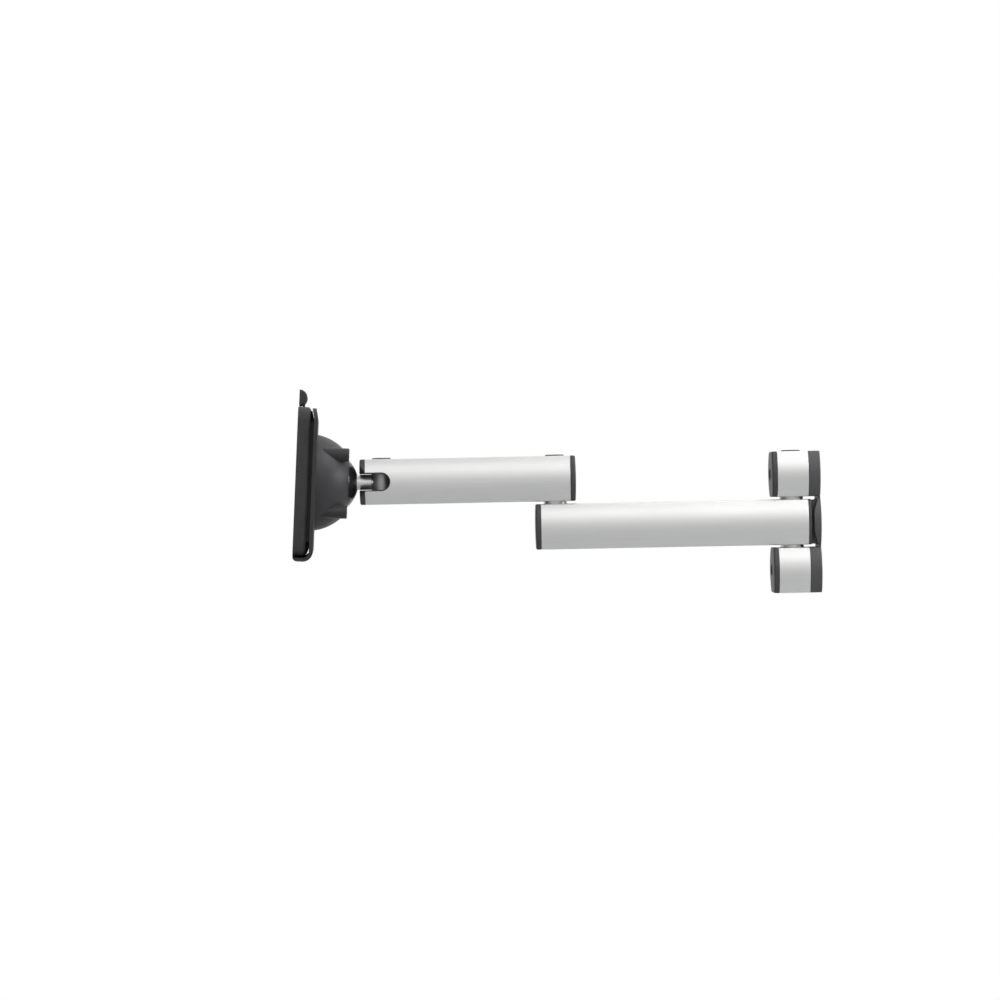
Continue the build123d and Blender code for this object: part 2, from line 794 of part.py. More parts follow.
# Planes of the head: turned about the upright axis, then tilted, about the ball's centre
pan = radians(head_pan)
tilt = radians(head_tilt)
ball_centre = (ball_x, 0, upper_level)
across_head = (-sin(pan), cos(pan), 0)
pan_plane = Plane(origin=ball_centre, x_dir=across_head, z_dir=(cos(pan), sin(pan), 0))
head_axis = (cos(pan) * cos(tilt), sin(pan) * cos(tilt), -sin(tilt))
head_plane = Plane(origin=ball_centre, x_dir=across_head, z_dir=head_axis)
head_side = Plane(origin=ball_centre, x_dir=head_axis, z_dir=(sin(pan), -cos(pan), 0))
head_section = Plane(origin=ball_centre, x_dir=across_head, z_dir=-head_plane.y_dir)

pocket_radius = ball_radius + seat_ring_wall + 2 * moving_clearance
lip_radius = ball_radius + moving_clearance
with BuildPart(pan_plane) as ball_seat_ring:
    Sphere(pocket_radius - moving_clearance)
    Sphere(lip_radius, mode=Mode.SUBTRACT)
    split(bisect_by=pan_plane.offset(seat_ring_front), keep=Keep.BOTTOM)
    split(bisect_by=pan_plane.offset(seat_ring_back), keep=Keep.TOP)
ball_seat_ring.part.label = "ball_seat_ring"
export_step(ball_seat_ring.part, "parts/ball_seat_ring.step")

inner_seat_back = seat_spring_stack - tray_setback
with BuildPart(head_plane) as inner_seat:
    Sphere(ball_bore_radius - moving_clearance)
    split(bisect_by=head_plane.offset(inner_seat_base), keep=Keep.TOP)
    with BuildSketch(head_plane.offset(inner_seat_back)):
        Circle(inner_seat_hub_radius)
    extrude(amount=inner_seat_base - inner_seat_back)
    with BuildSketch(head_plane.offset(inner_seat_back)):
        Circle(spring_stud_radius + moving_clearance)
    extrude(amount=spring_stud_bore_depth, mode=Mode.SUBTRACT)
inner_seat.part.label = "inner_seat"
export_step(inner_seat.part, "parts/inner_seat.step")

# Disc springs behind the inner seat push it into the hollow ball
with BuildPart(head_plane.offset(-tray_setback)) as seat_springs:
    DiscSpringPair(
        seat_spring_bore,
        inner_seat_hub_radius,
        seat_spring_stack - running_clearance,
        seat_spring_sheet,
    )
seat_springs.part.label = "seat_springs"
export_step(seat_springs.part, "parts/seat_springs.step")

# Ball housing: a dome with four screw bosses, lipped around the ball
dome_radius = pocket_radius + dome_wall
dome_front = ball_radius - dome_cover
boss_circle_radius = pocket_radius + boss_spread
lip_back = dome_front - dome_lip
pocket_edge = on_sphere(pocket_radius, lip_back)
lip_edge = on_sphere(lip_radius, lip_back)
mouth_edge = on_sphere(lip_radius, dome_front)
with BuildPart(head_plane) as ball_housing:
    with Locations((0, 0, -dome_setback)):
        Sphere(dome_radius)
    split(bisect_by=head_plane.offset(dome_front), keep=Keep.BOTTOM)
    split(bisect_by=head_plane.offset(-tray_setback), keep=Keep.TOP)
    with BuildSketch(head_plane.offset(-tray_setback)):
        with PolarLocations(boss_circle_radius, 4, start_angle=45):
            Circle(boss_radius)
    extrude(amount=tray_setback + dome_front)
    rims = ball_housing.edges().filter_by(GeomType.CIRCLE).group_by(Axis(ball_centre, head_axis))[-1]
    fillet(rims.group_by(SortBy.RADIUS)[0], boss_round)
    with BuildSketch(head_section):
        with BuildLine():
            Polyline((0, dome_front), (0, -tray_setback), (pocket_radius, -tray_setback), (pocket_radius, 0))
            ThreePointArc((pocket_radius, 0), on_sphere(pocket_radius, lip_back / 2), pocket_edge)
            Line(pocket_edge, lip_edge)
            ThreePointArc(lip_edge, on_sphere(lip_radius, (lip_back + dome_front) / 2), mouth_edge)
            Line(mouth_edge, (0, dome_front))
        make_face()
    revolve(axis=Axis(ball_centre, head_axis), mode=Mode.SUBTRACT)
    with Locations((0, 0, dome_front)):
        with PolarLocations(boss_circle_radius, 4, start_angle=45):
            CounterBoreHole(
                housing_screw_radius + seat_clearance,
                socket_head_radius + seat_clearance,
                socket_head_height + head_recess,
            )
ball_housing.part.label = "ball_housing"
export_step(ball_housing.part, "parts/ball_housing.step")

housing_screw_seat = dome_front - socket_head_height - head_recess
with BuildPart(head_plane.offset(housing_screw_seat)) as housing_screws:
    with PolarLocations(boss_circle_radius, 4, start_angle=45):
        SocketScrew(
            housing_screw_radius,
            housing_screw_seat + tray_setback + tray_sheet,
            socket_head_radius,
            socket_head_height,
        )
housing_screws.part.label = "housing_screws"
export_step(housing_screws.part, "parts/housing_screws.step")

# Receiver tray: one bent sheet, straight behind the adapter and hooked under it
tray_top = tray_height / 2 - tray_drop
tray_bottom = -tray_height / 2 - tray_drop
adapter_top = tray_top + adapter_rise
tray_middle = -tray_setback - tray_sheet / 2
tray_front = -tray_setback - tray_sheet
adapter_back = tray_front - adapter_gap
adapter_front = adapter_back - adapter_depth
lip_middle = tray_bottom + tray_sheet / 2
toe_middle = adapter_front + tray_sheet / 2
latch_back = adapter_front + adapter_base + latch_clearance
latch_face = latch_back + latch_sheet
stem_axial = latch_back + latch_foot_radius
toe_top = tray_bottom + toe_height
lip_top = tray_bottom + tray_sheet
latch_tongue_top = adapter_top - adapter_wall - latch_travel - latch_top_gap
keeper_front = tray_front - keeper_depth
keeper_back = keeper_front + keeper_sheet
keeper_top = latch_tongue_top - latch_tongue_height - latch_tongue_gap
keeper_middle = keeper_top - keeper_height / 2
latch_block_top = keeper_top - keeper_height - latch_travel - latch_block_gap
strip_bottom = latch_block_top - latch_block_height
lug_top = strip_bottom - latch_clearance
latch_foot = lug_top - latch_stem_reach
with BuildPart() as receiver_tray:
    with BuildSketch(head_side):
        with BuildLine() as bend_line:
            FilletPolyline(
                (tray_middle - lean, tray_top),
                (tray_middle, tray_top - lean_height),
                (tray_middle, lip_middle),
                (toe_middle, lip_middle),
                (toe_middle, lip_middle - tray_sheet / 2 + toe_height),
                radius=[lean_bend, tray_bend, toe_bend],
            )
        trace(line_width=tray_sheet)
    extrude(amount=tray_width / 2, both=True)
    with BuildSketch(head_plane.offset(adapter_front)):
        with Locations((0, -tray_drop)):
            RectangleRounded(tray_width, tray_height, tray_corner)
    extrude(amount=-adapter_front, mode=Mode.INTERSECT)
    with BuildSketch(head_plane.offset(adapter_front)):
        with Locations((0, lip_top + toe_height / 2)):
            with GridLocations(2 * toe_width, 0, 2, 1):
                Rectangle(toe_width, toe_height)
    extrude(amount=tray_sheet + toe_bend, mode=Mode.SUBTRACT)
    with BuildSketch(head_plane.offset(keeper_front)):
        with Locations((0, keeper_middle)):
            with GridLocations(keeper_width - keeper_post, 0, 2, 1):
                Rectangle(keeper_post, keeper_height)
    extrude(amount=keeper_depth)
    with BuildSketch(head_plane.offset(keeper_front)):
        with Locations((0, keeper_middle)):
            Rectangle(keeper_width, keeper_height)
    extrude(amount=keeper_sheet)
    with BuildSketch(head_plane.offset(-tray_setback)):
        Circle(spring_stud_radius)
    extrude(amount=spring_stud_length)
    with BuildSketch(head_plane.offset(-tray_setback)):
        with PolarLocations(boss_circle_radius, 4, start_angle=45):
            Circle(housing_screw_radius + thread_clearance)
    extrude(amount=-tray_sheet, mode=Mode.SUBTRACT)
receiver_tray.part.label = "receiver_tray"
export_step(receiver_tray.part, "parts/receiver_tray.step")

# Adapter plate: a shallow pan that bolts to the display and stands in the tray's hook
adapter_bottom = lip_top + toe_clearance
adapter_height = adapter_top - adapter_bottom
adapter_middle = (adapter_top + adapter_bottom) / 2
adapter_floor = adapter_front + adapter_base
ledge_top = toe_top + toe_clearance + toe_ledge
ledge_width = toe_width + 2 * (toe_clearance + toe_ledge)
rail_top = tray_front - seat_clearance
stop_top = adapter_top - adapter_wall
stop_foot = adapter_bottom + adapter_wall
stop_taper = stop_top - tray_top + lean_height + lean_margin
stop_slope = lean * stop_taper / lean_height
with BuildPart() as adapter_plate:
    with BuildSketch(head_plane.offset(adapter_front)):
        with Locations((0, adapter_middle)):
            RectangleRounded(adapter_width, adapter_height, adapter_corner)
    extrude(amount=adapter_depth)
    rim = adapter_plate.faces().sort_by(Axis(ball_centre, head_axis))[-1]
    chamfer(rim.edges().sort_by(Axis(ball_centre, head_plane.y_dir))[0], adapter_heel)
    with BuildSketch(head_plane.offset(adapter_floor)):
        with Locations((0, adapter_middle)):
            RectangleRounded(
                adapter_width - 2 * adapter_wall,
                adapter_height - 2 * adapter_wall,
                adapter_corner - adapter_wall,
            )
    extrude(amount=adapter_depth, mode=Mode.SUBTRACT)
    with BuildSketch(head_plane.offset(adapter_floor)):
        with Locations((0, (adapter_bottom + ledge_top) / 2)):
            Rectangle(ledge_width, ledge_top - adapter_bottom)
    extrude(amount=toe_ledge + toe_clearance + tray_sheet - adapter_base)
    with BuildSketch(head_plane.offset(adapter_floor)):
        with GridLocations(adapter_width - 2 * adapter_wall - 2 * rail_width, 0, 2, 1):
            Rectangle(rail_width, rail_length)
    extrude(amount=rail_top - adapter_floor)
    for offset in (stop_offset, -stop_offset):
        with BuildSketch(head_side.offset(offset)):
            for end, reach in ((stop_top, stop_start), (stop_foot, -stop_start)):
                bend = end - stop_taper if end > 0 else end + stop_taper
                with BuildLine():
                    Polyline(
                        (adapter_floor, reach),
                        (rail_top, reach),
                        (rail_top, bend),
                        (rail_top - stop_slope, end),
                        (adapter_floor, end),
                        close=True,
                    )
                make_face()
        extrude(amount=rail_width / 2, both=True)
    with BuildSketch(head_plane.offset(adapter_front)):
        with Locations((0, toe_top + toe_clearance - adapter_height / 2)):
            Rectangle(toe_width + 2 * toe_clearance, adapter_height)
    extrude(amount=tray_sheet + toe_clearance, mode=Mode.SUBTRACT)
    with BuildSketch(head_plane.offset(adapter_floor)):
        with Locations((0, lug_top - lug_height / 2)):
            Rectangle(lug_width, lug_height)
    extrude(amount=adapter_depth - adapter_base)
    with BuildSketch(head_plane.offset(adapter_floor)):
        with Locations((0, adapter_top - adapter_wall - guide_length / 2)):
            with GridLocations(latch_width + 2 * latch_clearance + guide_width, 0, 2, 1):
                Rectangle(guide_width, guide_length)
    extrude(amount=guide_height)
    with BuildSketch(head_plane.offset(adapter_floor)):
        with Locations((0, adapter_top - adapter_wall)):
            Rectangle(latch_width + 2 * latch_clearance, 2 * adapter_wall)
    extrude(amount=latch_sheet + 2 * latch_clearance, mode=Mode.SUBTRACT)
    with BuildSketch(head_plane.offset(adapter_front)):
        with Locations((0, adapter_middle)):
            for pattern in display_patterns:
                with GridLocations(pattern, pattern, 2, 2):
                    Circle(display_screw_radius)
    extrude(amount=adapter_base, mode=Mode.SUBTRACT)
    with BuildSketch(up_head(lug_top)):
        Circle(latch_stem_radius + moving_clearance)
    extrude(amount=-lug_height, mode=Mode.SUBTRACT)
adapter_plate.part.label = "adapter_plate"
export_step(adapter_plate.part, "parts/adapter_plate.step")

# Release latch: a sheet slide with a hook over the tray's keeper, a stem and a foot for its spring
knob_bottom = adapter_top + knob_gap
knob_centre = knob_bottom + knob_radius
strip_top = knob_bottom + knob_grip
foot_top = latch_foot + latch_foot_height
hook_front = keeper_back + moving_clearance
hook_height = latch_tongue_height + latch_hook_drop

with BuildPart() as release_latch:
    with BuildSketch(head_plane.offset(latch_back)):
        with Locations((0, (strip_bottom + strip_top) / 2)):
            Rectangle(latch_width, strip_top - strip_bottom)
    extrude(amount=latch_sheet)
    with BuildSketch(head_plane.offset(latch_face)):
        with Locations((0, latch_tongue_top - latch_tongue_height / 2)):
            Rectangle(latch_width, latch_tongue_height)
    extrude(amount=hook_front + latch_hook_sheet - latch_face)
    with BuildSketch(head_plane.offset(hook_front)):
        with Locations((0, latch_tongue_top - hook_height / 2)):
            Rectangle(latch_width, hook_height)
    extrude(amount=latch_hook_sheet)
    with BuildSketch(head_plane.offset(latch_back)):
        with Locations((0, strip_bottom + latch_block_height / 2)):
            Rectangle(latch_block_width, latch_block_height)
    extrude(amount=2 * latch_foot_radius)
    with BuildSketch(up_head(latch_foot)):
        Circle(latch_stem_radius)
    extrude(amount=strip_bottom - latch_foot)
    with BuildSketch(up_head(latch_foot)):
        Circle(latch_foot_radius)
    extrude(amount=latch_foot_height)
release_latch.part.label = "release_latch"
export_step(release_latch.part, "parts/release_latch.step")

with BuildPart() as release_knob:
    with BuildSketch(head_side):
        with Locations((adapter_front, knob_centre)):
            Circle(knob_radius)
            with Locations((-knob_radius, 0)):
                Rectangle(2 * knob_radius, 2 * knob_radius, mode=Mode.SUBTRACT)
    extrude(amount=knob_width / 2, both=True)
    fillet(release_knob.edges().filter_by(GeomType.CIRCLE), knob_round)
    with BuildSketch(head_plane.offset(latch_back - seat_clearance)):
        with Locations((0, strip_top - knob_grip)):
            Rectangle(latch_width + 2 * seat_clearance, 2 * knob_grip + 2 * seat_clearance)
    extrude(amount=latch_sheet + 2 * seat_clearance, mode=Mode.SUBTRACT)
release_knob.part.label = "release_knob"
export_step(release_knob.part, "parts/release_knob.step")

spring_length = lug_top - lug_height - foot_top - 2 * running_clearance - spring_wire
spring_radius = latch_foot_radius - spring_wire / 2
spring_base = up_head(foot_top + running_clearance + spring_wire / 2)
with BuildPart() as latch_spring:
    with BuildLine() as coil:
        Helix(
            spring_length / spring_turns,
            spring_length,
            spring_radius,
            center=spring_base.origin,
            direction=spring_base.z_dir,
        )
    with BuildSketch(Plane(origin=coil.line @ 0, z_dir=coil.line % 0)):
        Circle(spring_wire / 2)
    sweep()
latch_spring.part.label = "latch_spring"
export_step(latch_spring.part, "parts/latch_spring.step")
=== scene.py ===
"""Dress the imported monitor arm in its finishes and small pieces, in a plain pale studio."""

from __future__ import annotations

import json
import logging
import math
from dataclasses import dataclass
from enum import Enum

import bmesh
import bpy
from mathutils import Matrix, Vector

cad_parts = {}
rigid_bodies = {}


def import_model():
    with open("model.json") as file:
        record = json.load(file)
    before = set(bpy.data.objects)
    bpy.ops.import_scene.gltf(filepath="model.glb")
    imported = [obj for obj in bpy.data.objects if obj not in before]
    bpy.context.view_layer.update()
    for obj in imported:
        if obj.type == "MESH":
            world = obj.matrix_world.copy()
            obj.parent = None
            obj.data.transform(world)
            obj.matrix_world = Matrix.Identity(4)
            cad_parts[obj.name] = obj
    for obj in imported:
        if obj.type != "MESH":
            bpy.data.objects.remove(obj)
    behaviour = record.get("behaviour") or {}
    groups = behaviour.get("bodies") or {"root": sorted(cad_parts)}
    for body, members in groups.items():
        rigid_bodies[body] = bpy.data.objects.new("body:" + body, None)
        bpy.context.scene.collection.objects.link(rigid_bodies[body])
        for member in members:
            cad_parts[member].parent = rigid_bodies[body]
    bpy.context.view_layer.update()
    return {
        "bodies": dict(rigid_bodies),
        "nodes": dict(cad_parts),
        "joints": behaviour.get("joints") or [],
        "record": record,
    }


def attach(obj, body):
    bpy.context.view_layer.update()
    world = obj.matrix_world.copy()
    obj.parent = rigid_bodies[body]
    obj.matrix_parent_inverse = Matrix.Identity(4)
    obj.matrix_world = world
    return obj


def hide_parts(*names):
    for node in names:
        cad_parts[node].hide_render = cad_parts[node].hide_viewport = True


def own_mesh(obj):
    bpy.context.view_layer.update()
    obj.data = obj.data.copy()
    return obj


LOG = logging.getLogger("monitor_arm")
MM = 0.001
FULL_TURN = 2.0 * math.pi
ORIGIN = (0.0, 0.0, 0.0)
UPWARD = (0.0, 0.0, 1.0)
WHITE = (1.0, 1.0, 1.0)
EVEN = (1.0, 1.0, 1.0)
MERGE_DISTANCE = 1e-6
SHARP_ANGLE = math.radians(35)

# The range that most of a noise lies in, and how far a rounded normal leans at an edge
NOISE_MIDDLE = (0.3, 0.7)
WHOLE = (0.0, 1.0)
EDGE_BAND = (0.80, 0.99)

# Scale at which the wave texture's rings lie one unit apart, and the Mix node's colour sockets
RING_SCALE = 0.314
MIX_FIRST, MIX_SECOND, MIX_RESULT = 6, 7, 2

Triple = tuple[float, float, float]
Colour = Triple
Band = tuple[float, float]
Socket = bpy.types.NodeSocket


class Nodes:
    """A node tree, with short calls for what the finishes and the surroundings share."""

    def __init__(self, tree: bpy.types.NodeTree) -> None:
        """Empty a node tree and keep it.

        Args:
            tree: Tree of a material or of the world.
        """
        tree.nodes.clear()
        self.tree = tree

    def new(self, kind: str) -> bpy.types.Node:
        """Add a shader node, named without its prefix."""
        return self.tree.nodes.new(f"ShaderNode{kind}")

    def link(self, source: Socket, target: Socket) -> None:
        """Join two sockets."""
        self.tree.links.new(source, target)

    def feed(self, target: Socket, value: float | Colour | Socket) -> None:
        """Link a source to a socket, or set its constant.

        Args:
            target: Socket to feed.
            value: Source socket, number or colour.
        """
        if isinstance(value, bpy.types.NodeSocket):
            self.link(value, target)
        elif isinstance(value, tuple) and target.type == "RGBA":
            target.default_value = (*value, 1.0)
        else:
            target.default_value = value

    def span(self, value: Socket, band: Band, start: float = 0.0, end: float = 1.0) -> Socket:
        """Map a value from one range to another, clamped.

        Args:
            value: Source.
            band: Source values that give start and end.
            start: Result at the low end of the band.
            end: Result at its high end.

        Returns:
            The mapped value.
        """
        node = self.new("MapRange")
        self.link(value, node.inputs["Value"])
        names = ("From Min", "From Max", "To Min", "To Max")
        for name, number in zip(names, (*band, start, end)):
            node.inputs[name].default_value = number
        return node.outputs["Result"]

    def join(self, first: Socket, second: Socket | float, operation: str = "ADD") -> Socket:
        """Join two values by one sum.

        Args:
            first: First value.
            second: Second value.
            operation: Name of the sum.

        Returns:
            The result.
        """
        node = self.new("Math")
        node.operation = operation
        self.feed(node.inputs[0], first)
        self.feed(node.inputs[1], second)
        return node.outputs[0]

    def blend(self, factor: Socket, first: Colour | Socket, second: Colour | Socket) -> Socket:
        """Mix two colours.

        Args:
            factor: 0 for the first colour, 1 for the second, clamped.
            first: First colour.
            second: Second colour.

        Returns:
            The mixed colour.
        """
        node = self.new("Mix")
        node.data_type = "RGBA"
        self.link(factor, node.inputs["Factor"])
        self.feed(node.inputs[MIX_FIRST], first)
        self.feed(node.inputs[MIX_SECOND], second)
        return node.outputs[MIX_RESULT]

    def seen_rays(self) -> Socket:
        """Mask of the rays that show the surroundings: camera, glossy and transmission."""
        path = self.new("LightPath")
        total = path.outputs["Is Camera Ray"]
        for name in ("Is Glossy Ray", "Is Transmission Ray"):
            total = self.join(total, path.outputs[name], "MAXIMUM")
        return total


class Graph(Nodes):
    """Node tree of one finish."""

    def __init__(self, name: str) -> None:
        """Start a material with one principled surface.

        Args:
            name: Name of the material.
        """
        self.material = bpy.data.materials.new(name)
        self.material.use_nodes = True
        super().__init__(self.material.node_tree)
        self.surface = self.new("BsdfPrincipled")
        self.output = self.new("OutputMaterial")
        self.link(self.surface.outputs["BSDF"], self.output.inputs["Surface"])
        self.object_space = self.new("TexCoord").outputs["Object"]

    def set(self, **sockets: float | Colour | Socket) -> None:
        """Set or link sockets of the principled surface.

        Args:
            sockets: Socket names, with _ for a space, and their values or sources.
        """
        for name, value in sockets.items():
            self.feed(self.surface.inputs[name.replace("_", " ")], value)

    def noise(self, size_mm: float, detail: float, stretch: Triple = EVEN) -> Socket:
        """Noise on the object's own coordinates.

        Args:
            size_mm: Size of one cell in millimetres.
            detail: Octaves of finer noise.
            stretch: How many times longer a cell is along each axis.

        Returns:
            The noise value, about 0.5.
        """
        mapping = self.new("Mapping")
        self.link(self.object_space, mapping.inputs["Vector"])
        mapping.inputs["Scale"].default_value = [1.0 / (s * size_mm * MM) for s in stretch]
        node = self.new("TexNoise")
        self.link(mapping.outputs["Vector"], node.inputs["Vector"])
        node.inputs["Scale"].default_value = 1.0
        node.inputs["Detail"].default_value = detail
        return node.outputs["Fac"]

    def rings(self, pitch_mm: float, axis: str, centre: Triple) -> Socket:
        """Turning marks: fine rings about an axis through a point.

        Args:
            pitch_mm: Distance between rings in millimetres.
            axis: Axis the rings go round, X, Y or Z.
            centre: Point on the axis, in metres.

        Returns:
            The ring height, 0 to 1.
        """
        mapping = self.new("Mapping")
        self.link(self.object_space, mapping.inputs["Vector"])
        mapping.inputs["Location"].default_value = [-c for c in centre]
        node = self.new("TexWave")
        node.wave_type = "RINGS"
        node.rings_direction = axis
        self.link(mapping.outputs["Vector"], node.inputs["Vector"])
        node.inputs["Scale"].default_value = RING_SCALE / (pitch_mm * MM)
        node.inputs["Distortion"].default_value = 0.6
        node.inputs["Detail Scale"].default_value = 2.0
        return node.outputs["Fac"]

    def around(
        self, value: Socket, middle: float, spread: Band, band: Band = NOISE_MIDDLE
    ) -> Socket:
        """Vary a number with a value.

        Args:
            value: Source.
            middle: Number to vary.
            spread: What is added to it at the two ends of the band.
            band: Source values at which the spread ends.

        Returns:
            The varied number.
        """
        return self.span(value, band, middle + spread[0], middle + spread[1])

    def edges(self, radius_mm: float) -> tuple[Socket, Socket]:
        """Find the edges of a piece and round them in the shading.

        Args:
            radius_mm: Radius of the edge in millimetres.

        Returns:
            The rounded normal, and a mask that is 1 on an edge.
        """
        bevel = self.new("Bevel")
        bevel.samples = 4
        bevel.inputs["Radius"].default_value = radius_mm * MM
        dot = self.new("VectorMath")
        dot.operation = "DOT_PRODUCT"
        self.link(bevel.outputs["Normal"], dot.inputs[0])
        self.link(self.new("NewGeometry").outputs["Normal"], dot.inputs[1])
        return bevel.outputs["Normal"], self.span(dot.outputs["Value"], EDGE_BAND, 1.0, 0.0)

    def relief(self, height: Socket, depth_mm: float, normal: Socket | None = None) -> Socket:
        """Bump from a height.

        Args:
            height: Height, 0 to 1.
            depth_mm: Depth of the relief in millimetres.
            normal: Normal to start from.

        Returns:
            The bumped normal.
        """
        node = self.new("Bump")
        node.inputs["Strength"].default_value = 1.0
        node.inputs["Distance"].default_value = depth_mm * MM
        self.link(height, node.inputs["Height"])
        if normal is not None:
            self.link(normal, node.inputs["Normal"])
        return node.outputs["Normal"]


def shade(colour: Colour, factor: float, lift: float = 0.0) -> Colour:
    """A lighter or darker version of a colour.

    Args:
        colour: Colour to start from.
        factor: How many times as bright.
        lift: Added to each channel.

    Returns:
        The colour, no brighter than white.
    """
    return tuple(min(1.0, factor * c + lift) for c in colour)


@dataclass(frozen=True)
class SatinAluminium:
    """Satin anodised extrusion with fine drawing lines along its length, and a painted highlight
    along its edges.
    """

    name: str
    colour: Colour
    roughness: float
    line_mm: float = 0.22
    line_stretch: Triple = (260.0, 1.0, 1.0)
    line_depth_mm: float = 0.0025
    line_shade: float = 0.93
    cloud_mm: float = 26.0
    cloud_stretch: Triple = (2.0, 1.0, 1.0)
    cloud_spread: Band = (-0.02, 0.03)
    rough_band: Band = (0.25, 0.75)
    rough_spread: Band = (-0.04, 0.05)
    edge_mm: float = 0.35
    # Lighter colour on the edges: a painted edge highlight
    edge_shade: float = 1.08

    def material(self) -> bpy.types.Material:
        """Build the material."""
        graph = Graph(self.name)
        lines = graph.noise(self.line_mm, detail=3.0, stretch=self.line_stretch)
        cloud = graph.noise(self.cloud_mm, detail=2.0, stretch=self.cloud_stretch)
        normal, edge = graph.edges(self.edge_mm)
        dark = shade(self.colour, self.line_shade)
        tone = graph.blend(graph.span(lines, NOISE_MIDDLE), dark, self.colour)
        rough = graph.around(lines, self.roughness, self.rough_spread, self.rough_band)
        graph.set(
            # Edges painted lighter: a painted highlight
            Base_Color=graph.blend(edge, tone, shade(self.colour, self.edge_shade)),
            Metallic=1.0,
            Roughness=graph.join(rough, graph.span(cloud, NOISE_MIDDLE, *self.cloud_spread)),
            Normal=graph.relief(lines, self.line_depth_mm, normal),
        )
        return graph.material


@dataclass(frozen=True)
class GrainedPlastic:
    """Moulded plastic with a fine spark grain, its edges painted paler: a painted highlight, with
    some wear.
    """

    name: str
    colour: Colour
    roughness: float
    grain_mm: float = 0.28
    depth_mm: float = 0.022
    rough_spread: Band = (-0.06, 0.08)
    cloud_mm: float = 14.0
    cloud_shades: Band = (0.88, 1.16)
    edge_mm: float = 0.35
    edge_polish: float = -0.08
    # Edge colour painted paler in random patches: a painted highlight along the edges, with some
    # wear
    wear_shade: float = 1.7
    wear_lift: float = 0.01
    wear_band: Band = (0.42, 0.62)
    wear_share: Band = (0.15, 0.8)
    gloss: float = 0.35

    def material(self) -> bpy.types.Material:
        """Build the material."""
        graph = Graph(self.name)
        grain = graph.noise(self.grain_mm, detail=2.5)
        cloud = graph.noise(self.cloud_mm, detail=3.0)
        normal, edge = graph.edges(self.edge_mm)
        deep, pale = (shade(self.colour, factor) for factor in self.cloud_shades)
        # Paler edge colour: painted highlight along the edges, with some wear
        highlit_and_rubbed = shade(self.colour, self.wear_shade, self.wear_lift)
        tone = graph.blend(graph.span(cloud, NOISE_MIDDLE), deep, pale)
        patches = graph.span(cloud, self.wear_band, *self.wear_share)
        edge_highlight_and_wear = graph.join(edge, patches, "MULTIPLY")
        rough = graph.around(grain, self.roughness, self.rough_spread)
        graph.set(
            Base_Color=graph.blend(edge_highlight_and_wear, tone, highlit_and_rubbed),
            Roughness=graph.join(rough, graph.span(edge, WHOLE, 0.0, self.edge_polish)),
            Normal=graph.relief(grain, self.depth_mm, normal),
            Specular_IOR_Level=self.gloss,
        )
        return graph.material


@dataclass(frozen=True)
class PowderCoat:
    """Baked powder coat with a soft orange-peel skin, its edges painted paler: a painted
    highlight, with some wear.
    """

    name: str
    colour: Colour
    roughness: float
    peel_mm: float = 1.1
    depth_mm: float = 0.03
    speck_mm: float = 0.16
    speck_share: float = 0.25
    speck_band: Band = (0.35, 0.65)
    speck_shade: float = 1.12
    cloud_mm: float = 22.0
    rough_spread: Band = (-0.04, 0.06)
    edge_mm: float = 0.5
    # Edge colour painted paler: a painted highlight along the edges, with some wear
    wear_shade: float = 1.45
    wear_lift: float = 0.006
    wear_share: float = 0.6
    gloss: float = 0.35

    def material(self) -> bpy.types.Material:
        """Build the material."""
        graph = Graph(self.name)
        peel = graph.noise(self.peel_mm, detail=1.5)
        speck = graph.noise(self.speck_mm, detail=1.0)
        cloud = graph.noise(self.cloud_mm, detail=2.0)
        normal, edge = graph.edges(self.edge_mm)
        pale = shade(self.colour, self.speck_shade)
        # Paler edge colour: painted highlight along the edges, with some wear
        highlit_and_rubbed = shade(self.colour, self.wear_shade, self.wear_lift)
        tone = graph.blend(graph.span(speck, self.speck_band), self.colour, pale)
        edge_highlight_and_wear = graph.join(edge, self.wear_share, "MULTIPLY")
        height = graph.join(peel, graph.join(speck, self.speck_share, "MULTIPLY"))
        graph.set(
            Base_Color=graph.blend(edge_highlight_and_wear, tone, highlit_and_rubbed),
            Roughness=graph.around(cloud, self.roughness, self.rough_spread),
            Normal=graph.relief(height, self.depth_mm, normal),
            Specular_IOR_Level=self.gloss,
        )
        return graph.material


@dataclass(frozen=True)
class PolishedBlack:
    """Polished black surface with faint wiping marks."""

    name: str
    colour: Colour
    roughness: float
    wipe_mm: float = 6.0
    wipe_stretch: Triple = (1.0, 3.0, 1.0)
    wipe_band: Band = (0.35, 0.7)
    wipe_shade: float = 1.6
    rough_spread: Band = (-0.04, 0.08)
    fine_mm: float = 0.5
    fine_depth_mm: float = 0.001
    gloss: float = 0.5

    def material(self) -> bpy.types.Material:
        """Build the material."""
        graph = Graph(self.name)
        wipe = graph.noise(self.wipe_mm, detail=4.0, stretch=self.wipe_stretch)
        fine = graph.noise(self.fine_mm, detail=2.0)
        pale = shade(self.colour, self.wipe_shade)
        graph.set(
            Base_Color=graph.blend(graph.span(wipe, self.wipe_band), self.colour, pale),
            Roughness=graph.around(wipe, self.roughness, self.rough_spread),
            Normal=graph.relief(fine, self.fine_depth_mm),
            Specular_IOR_Level=self.gloss,
        )
        return graph.material


